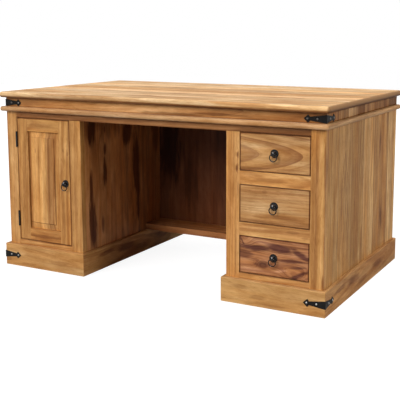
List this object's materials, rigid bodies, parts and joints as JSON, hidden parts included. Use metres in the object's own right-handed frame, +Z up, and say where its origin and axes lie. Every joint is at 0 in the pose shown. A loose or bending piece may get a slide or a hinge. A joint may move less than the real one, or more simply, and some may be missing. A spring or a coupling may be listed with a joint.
{
  "type": "writing desk",
  "caption": "Pedestal writing desk in solid wood: rounded top, panelled door cupboard, stack of dovetailed drawers, open kneehole with foot shelf, iron ring pulls and corner straps.",
  "frame": {"origin": "on the floor under the middle of the top", "axes": "+X along the desk to the sitter's right, -Y to the sitter, +Z up"},
  "size_m": [1.5, 0.9, 0.76],
  "materials": {
    "top_wood": "satin oiled, lengthwise boards",
    "body_wood": "satin oiled, honey brown",
    "inner_wood": "plain sanded",
    "black_iron": "blackened, softly polished",
    "plain_steel": "plain",
    "catch_plastic": "matt brown"
  },
  "bodies": {
    "carcass": {"desktop": "top_wood", "frieze_front": "body_wood", "frieze_sides": "body_wood", "frieze_back": "body_wood", "moulding_front": "body_wood", "moulding_sides": "body_wood", "moulding_back": "body_wood", "front_top_rail": "body_wood", "bottom_rails": "body_wood", "drawer_rails": "body_wood", "left_outer_stile": "body_wood", "right_outer_stile": "body_wood", "left_inner_stile": "body_wood", "right_inner_stile": "body_wood", "left_outer_side": "body_wood", "right_outer_side": "body_wood", "left_inner_side": "body_wood", "right_inner_side": "body_wood", "pedestal_backs": "inner_wood", "pedestal_tops": "inner_wood", "cabinet_floor": "inner_wood", "cabinet_shelf": "inner_wood", "modesty_panel": "body_wood", "foot_shelf": "body_wood", "drawer_runners": "inner_wood", "drawer_stops": "inner_wood", "plinth_fronts": "body_wood", "plinth_sides": "body_wood", "plinth_backs": "body_wood", "frieze_straps": "black_iron", "plinth_straps": "black_iron", "strap_nails": "black_iron", "hinge_frame_leaves": "black_iron", "hinge_pins": "black_iron", "door_catch": "catch_plastic"},
    "door": {"door_hinge_stile": "body_wood", "door_lock_stile": "body_wood", "door_bottom_rail": "body_wood", "door_top_rail": "body_wood", "door_panel": "body_wood", "hinge_door_leaves": "black_iron", "catch_plate": "plain_steel", "door_pull": "black_iron"},
    "door_ring": {"door_ring": "black_iron"},
    "bottom_drawer": {"bottom_drawer_front": "body_wood", "bottom_drawer_box": "inner_wood", "bottom_drawer_bottom": "inner_wood", "bottom_drawer_pull": "black_iron"},
    "bottom_drawer_ring": {"bottom_drawer_ring": "black_iron"},
    "middle_drawer": {"middle_drawer_front": "body_wood", "middle_drawer_box": "inner_wood", "middle_drawer_bottom": "inner_wood", "middle_drawer_pull": "black_iron"},
    "middle_drawer_ring": {"middle_drawer_ring": "black_iron"},
    "top_drawer": {"top_drawer_front": "body_wood", "top_drawer_box": "inner_wood", "top_drawer_bottom": "inner_wood", "top_drawer_pull": "black_iron"},
    "top_drawer_ring": {"top_drawer_ring": "black_iron"}
  },
  "joints": [
    {"name": "door_hinge", "type": "hinge", "parent": "carcass", "child": "door", "pos_m": [-0.674, -0.4293, 0.384], "axis": [0, 0, -1], "range_deg": [0, 175]},
    {"name": "door_ring_swing", "type": "hinge", "parent": "door", "child": "door_ring", "pos_m": [-0.419, -0.438, 0.384], "axis": [-1, 0, 0], "range_deg": [-14, 180]},
    {"name": "bottom_drawer_slide", "type": "slide", "parent": "carcass", "child": "bottom_drawer", "axis": [0, -1, 0], "range_m": [0, 0.38]},
    {"name": "bottom_drawer_ring_swing", "type": "hinge", "parent": "bottom_drawer", "child": "bottom_drawer_ring", "pos_m": [0.534, -0.438, 0.18933], "axis": [-1, 0, 0], "range_deg": [-14, 180]},
    {"name": "middle_drawer_slide", "type": "slide", "parent": "carcass", "child": "middle_drawer", "axis": [0, -1, 0], "range_m": [0, 0.38]},
    {"name": "middle_drawer_ring_swing", "type": "hinge", "parent": "middle_drawer", "child": "middle_drawer_ring", "pos_m": [0.534, -0.438, 0.384], "axis": [-1, 0, 0], "range_deg": [-14, 180]},
    {"name": "top_drawer_slide", "type": "slide", "parent": "carcass", "child": "top_drawer", "axis": [0, -1, 0], "range_m": [0, 0.38]},
    {"name": "top_drawer_ring_swing", "type": "hinge", "parent": "top_drawer", "child": "top_drawer_ring", "pos_m": [0.534, -0.438, 0.57867], "axis": [-1, 0, 0], "range_deg": [-14, 180]}
  ]
}
